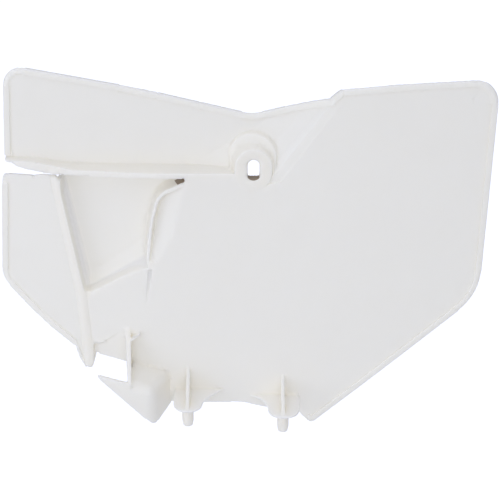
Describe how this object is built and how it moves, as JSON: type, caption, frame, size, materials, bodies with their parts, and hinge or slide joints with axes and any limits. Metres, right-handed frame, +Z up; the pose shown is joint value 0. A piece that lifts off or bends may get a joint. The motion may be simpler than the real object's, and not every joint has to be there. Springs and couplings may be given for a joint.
{
  "type": "racing number board",
  "caption": "Side number board of an off-road racing motorbike: a thin moulded plate with a raised rim, a bolt boss with an upright slot, a hook and hanging pegs that locate it on the bike.",
  "frame": {"origin": "centre of the bolt slot, on the flat seat of the boss that rests against the bike", "axes": "+X along the board to the bike's rear, +Y outward from the bike, +Z up; the inner face looks along -Y"},
  "size_m": [0.3435, 0.0508, 0.2702],
  "materials": {
    "plastic": "white, as moulded, with a fine satin skin"
  },
  "bodies": {
    "root": {"number_board": "plastic"}
  },
  "joints": []
}
